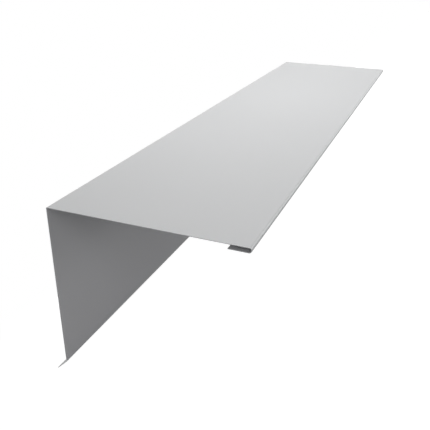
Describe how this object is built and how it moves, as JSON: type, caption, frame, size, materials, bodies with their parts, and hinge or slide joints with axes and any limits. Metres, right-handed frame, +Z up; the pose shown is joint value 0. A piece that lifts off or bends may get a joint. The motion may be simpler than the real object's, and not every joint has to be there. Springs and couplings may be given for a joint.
{
  "type": "mono pitch ridge flashing",
  "caption": "Folded sheet steel flashing for the top edge of a single-pitch roof: a roof leaf with an open hem, folded at the ridge into a fascia leaf with a drip kick.",
  "frame": {"origin": "on the floor, at the middle of the box around the piece as it lies open side down", "axes": "+Y along the ridge fold, +Z up, +X from the fascia leaf's side to the roof leaf's side"},
  "size_m": [0.3198, 0.9, 0.1515],
  "materials": {
    "coated_steel": "light grey satin paint on the outer face, darker grey backing coat on the inner face, bare cut edges"
  },
  "bodies": {
    "root": {"ridge_flashing": "coated_steel"}
  },
  "joints": []
}
